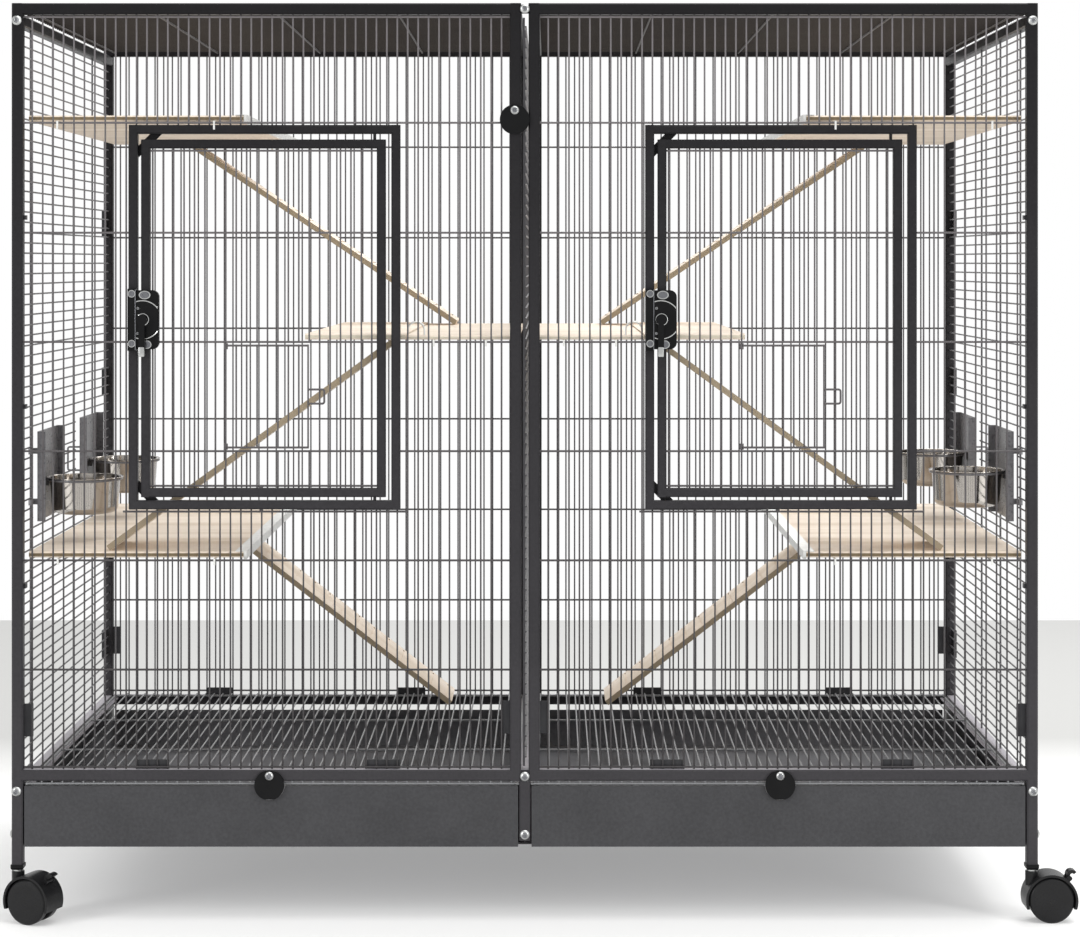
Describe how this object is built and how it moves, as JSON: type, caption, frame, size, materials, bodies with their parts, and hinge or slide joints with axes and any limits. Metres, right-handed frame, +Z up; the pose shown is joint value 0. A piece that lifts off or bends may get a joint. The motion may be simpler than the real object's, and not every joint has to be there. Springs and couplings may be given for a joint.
{
  "type": "ferret cage",
  "caption": "Double wire cage on casters for ferrets, with a slot for a partition, hinged doors, wooden shelves and ramps, feeding hatches with bowls and slide-out trays.",
  "frame": {"origin": "on the floor under the middle of the frame", "axes": "+X to the right as seen from the front, +Y to the back, +Z up; the doors are on the -Y side"},
  "size_m": [1.4781, 0.738, 1.23],
  "materials": {
    "frame_steel": "hammered charcoal powder coat",
    "wall_wire": "charcoal powder coat on wire",
    "floor_wire": "charcoal powder coat on wire, smooth",
    "tray_sheet": "hammered charcoal powder coat",
    "hatch_sheet": "hammered charcoal powder coat",
    "bowl_steel": "polished stainless steel",
    "board": "sanded pale board, unfinished",
    "zinc": "bright zinc plate",
    "black_plastic": "moulded black plastic"
  },
  "bodies": {
    "cage": {"front_frame_left": "frame_steel", "front_frame_right": "frame_steel", "side_frame_left": "frame_steel", "side_frame_right": "frame_steel", "back_frame": "frame_steel", "roof_frame": "frame_steel", "base_frame": "frame_steel", "front_mesh_left": "wall_wire", "front_mesh_right": "wall_wire", "side_mesh_left": "wall_wire", "side_mesh_right": "wall_wire", "back_mesh": "wall_wire", "roof_mesh": "wall_wire", "partition": "wall_wire", "lock_strikes": "black_plastic", "floor_grid_left": "floor_wire", "floor_grid_right": "floor_wire", "shelves_upper": "board", "shelves_middle": "board", "shelves_lower": "board", "ramps_upper": "board", "ramps_middle": "board", "ramps_lower": "board", "shelf_fittings": "zinc", "leg_plugs": "black_plastic", "panel_clips": "black_plastic", "screws": "zinc"},
    "door_left": {"door_frame_left": "frame_steel", "door_mesh_left": "wall_wire", "lock_case_left": "black_plastic"},
    "lock_lever_left": {"lock_lever_left": "black_plastic"},
    "hatch_left": {"hatch_left": "wall_wire"},
    "feeder_left_front": {"feeder_left_front": "hatch_sheet"},
    "bowl_left_front": {"bowl_left_front": "bowl_steel"},
    "feeder_left_back": {"feeder_left_back": "hatch_sheet"},
    "bowl_left_back": {"bowl_left_back": "bowl_steel"},
    "tray_left": {"tray_left": "tray_sheet"},
    "tray_disc_left": {"tray_disc_left": "black_plastic"},
    "door_right": {"door_frame_right": "frame_steel", "door_mesh_right": "wall_wire", "lock_case_right": "black_plastic"},
    "lock_lever_right": {"lock_lever_right": "black_plastic"},
    "hatch_right": {"hatch_right": "wall_wire"},
    "feeder_right_front": {"feeder_right_front": "hatch_sheet"},
    "bowl_right_front": {"bowl_right_front": "bowl_steel"},
    "feeder_right_back": {"feeder_right_back": "hatch_sheet"},
    "bowl_right_back": {"bowl_right_back": "bowl_steel"},
    "tray_right": {"tray_right": "tray_sheet"},
    "tray_disc_right": {"tray_disc_right": "black_plastic"},
    "partition_disc": {"partition_disc": "black_plastic"},
    "caster_front_left": {"caster_front_left": "black_plastic"},
    "wheels_front_left": {"wheels_front_left": "black_plastic"},
    "brake_front_left": {"brake_front_left": "black_plastic"},
    "caster_front_right": {"caster_front_right": "black_plastic"},
    "wheels_front_right": {"wheels_front_right": "black_plastic"},
    "brake_front_right": {"brake_front_right": "black_plastic"},
    "caster_back_left": {"caster_back_left": "black_plastic"},
    "wheels_back_left": {"wheels_back_left": "black_plastic"},
    "caster_back_right": {"caster_back_right": "black_plastic"},
    "wheels_back_right": {"wheels_back_right": "black_plastic"}
  },
  "joints": [
    {"name": "door_left_hinge", "type": "hinge", "parent": "cage", "child": "door_left", "pos_m": [-0.2015, -0.3285, 0.80785], "axis": [0, 0, 1], "range_deg": [0, 110]},
    {"name": "lock_left_turn", "type": "hinge", "parent": "door_left", "child": "lock_lever_left", "pos_m": [-0.5107, -0.3448, 0.806], "axis": [0, -1, 0], "range_deg": [0, 90]},
    {"name": "hatch_left_hinge", "type": "hinge", "parent": "door_left", "child": "hatch_left", "pos_m": [-0.4015, -0.3279, 0.70275], "axis": [0, 0, -1], "range_deg": [0, 110]},
    {"name": "feeder_left_front_hinge", "type": "hinge", "parent": "cage", "child": "feeder_left_front", "pos_m": [-0.6816, -0.245, 0.58725], "axis": [0, 0, 1], "range_deg": [0, 90]},
    {"name": "bowl_left_front_lift", "type": "slide", "parent": "feeder_left_front", "child": "bowl_left_front", "axis": [0, 0, 1], "range_m": [0, 0.06]},
    {"name": "feeder_left_back_hinge", "type": "hinge", "parent": "cage", "child": "feeder_left_back", "pos_m": [-0.6816, 0.196, 0.58725], "axis": [0, 0, -1], "range_deg": [0, 90]},
    {"name": "bowl_left_back_lift", "type": "slide", "parent": "feeder_left_back", "child": "bowl_left_back", "axis": [0, 0, 1], "range_m": [0, 0.06]},
    {"name": "tray_left_slide", "type": "slide", "parent": "cage", "child": "tray_left", "axis": [0, -1, 0], "range_m": [0, 0.55]},
    {"name": "tray_disc_left_turn", "type": "hinge", "parent": "cage", "child": "tray_disc_left", "pos_m": [-0.342, -0.3378, 0.1955], "axis": [0, 1, 0], "range_deg": [0, 180]},
    {"name": "door_right_hinge", "type": "hinge", "parent": "cage", "child": "door_right", "pos_m": [0.491, -0.3285, 0.80785], "axis": [0, 0, 1], "range_deg": [0, 110]},
    {"name": "lock_right_turn", "type": "hinge", "parent": "door_right", "child": "lock_lever_right", "pos_m": [0.1818, -0.3448, 0.806], "axis": [0, -1, 0], "range_deg": [0, 90]},
    {"name": "hatch_right_hinge", "type": "hinge", "parent": "door_right", "child": "hatch_right", "pos_m": [0.291, -0.3279, 0.70275], "axis": [0, 0, -1], "range_deg": [0, 110]},
    {"name": "feeder_right_front_hinge", "type": "hinge", "parent": "cage", "child": "feeder_right_front", "pos_m": [0.6816, -0.245, 0.58725], "axis": [0, 0, -1], "range_deg": [0, 90]},
    {"name": "bowl_right_front_lift", "type": "slide", "parent": "feeder_right_front", "child": "bowl_right_front", "axis": [0, 0, 1], "range_m": [0, 0.06]},
    {"name": "feeder_right_back_hinge", "type": "hinge", "parent": "cage", "child": "feeder_right_back", "pos_m": [0.6816, 0.196, 0.58725], "axis": [0, 0, 1], "range_deg": [0, 90]},
    {"name": "bowl_right_back_lift", "type": "slide", "parent": "feeder_right_back", "child": "bowl_right_back", "axis": [0, 0, 1], "range_m": [0, 0.06]},
    {"name": "tray_right_slide", "type": "slide", "parent": "cage", "child": "tray_right", "axis": [0, -1, 0], "range_m": [0, 0.55]},
    {"name": "tray_disc_right_turn", "type": "hinge", "parent": "cage", "child": "tray_disc_right", "pos_m": [0.342, -0.3378, 0.1955], "axis": [0, 1, 0], "range_deg": [0, 180]},
    {"name": "partition_disc_turn", "type": "hinge", "parent": "cage", "child": "partition_disc", "pos_m": [-0.0135, -0.3378, 1.0865], "axis": [0, 1, 0], "range_deg": [0, 180]},
    {"name": "caster_front_left_swivel", "type": "hinge", "parent": "cage", "child": "caster_front_left", "pos_m": [-0.68, -0.3285, 0.06], "axis": [0, 0, 1], "continuous": true},
    {"name": "wheels_front_left_spin", "type": "hinge", "parent": "caster_front_left", "child": "wheels_front_left", "pos_m": [-0.65791, -0.33788, 0.03], "axis": [0.3907, 0.9205, 0], "continuous": true},
    {"name": "brake_front_left_press", "type": "hinge", "parent": "caster_front_left", "child": "brake_front_left", "pos_m": [-0.63443, -0.34784, 0.0582], "axis": [0.3907, 0.9205, 0], "range_deg": [0, 20]},
    {"name": "caster_front_right_swivel", "type": "hinge", "parent": "cage", "child": "caster_front_right", "pos_m": [0.68, -0.3285, 0.06], "axis": [0, 0, 1], "continuous": true},
    {"name": "wheels_front_right_spin", "type": "hinge", "parent": "caster_front_right", "child": "wheels_front_right", "pos_m": [0.704, -0.3285, 0.03], "axis": [0, 1, 0], "continuous": true},
    {"name": "brake_front_right_press", "type": "hinge", "parent": "caster_front_right", "child": "brake_front_right", "pos_m": [0.7295, -0.3285, 0.0582], "axis": [0, 1, 0], "range_deg": [0, 20]},
    {"name": "caster_back_left_swivel", "type": "hinge", "parent": "cage", "child": "caster_back_left", "pos_m": [-0.68, 0.3285, 0.06], "axis": [0, 0, 1], "continuous": true},
    {"name": "wheels_back_left_spin", "type": "hinge", "parent": "caster_back_left", "child": "wheels_back_left", "pos_m": [-0.704, 0.3285, 0.03], "axis": [0, -1, 0], "continuous": true},
    {"name": "caster_back_right_swivel", "type": "hinge", "parent": "cage", "child": "caster_back_right", "pos_m": [0.68, 0.3285, 0.06], "axis": [0, 0, 1], "continuous": true},
    {"name": "wheels_back_right_spin", "type": "hinge", "parent": "caster_back_right", "child": "wheels_back_right", "pos_m": [0.65791, 0.33788, 0.03], "axis": [-0.3907, -0.9205, 0], "continuous": true}
  ]
}
